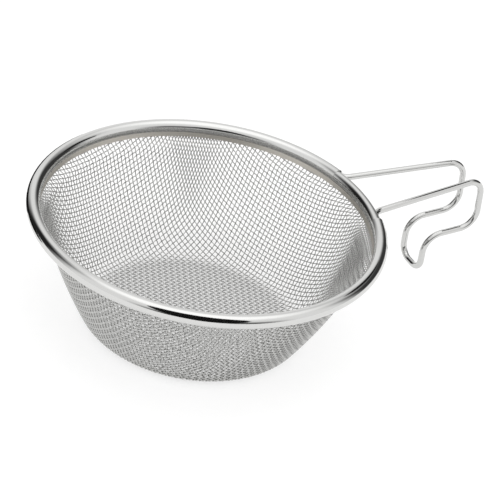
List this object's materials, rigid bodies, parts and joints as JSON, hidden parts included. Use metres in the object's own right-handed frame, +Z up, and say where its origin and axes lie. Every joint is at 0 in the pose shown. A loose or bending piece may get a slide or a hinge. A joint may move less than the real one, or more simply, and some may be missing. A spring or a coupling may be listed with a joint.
{
  "type": "wire mesh sieve",
  "caption": "Round hand sieve: a deep flat-bottomed bowl of woven stainless wire cloth, a rolled strip rim and a bent wire handle that hooks down and back.",
  "frame": {"origin": "centre of the bowl's flat underside, on the resting face", "axes": "+Z up through the mouth of the bowl, +X along the handle away from the bowl, +Y across; the bowl and handle mirror across y = 0"},
  "size_m": [0.1803, 0.13, 0.0489],
  "materials": {
    "wire_cloth": "drawn stainless wire, fairly bright",
    "rim_steel": "polished stainless strip",
    "handle_steel": "polished stainless wire"
  },
  "bodies": {
    "root": {"mesh_bowl": "wire_cloth", "rim_strip": "rim_steel", "handle_wire": "handle_steel"}
  },
  "joints": []
}
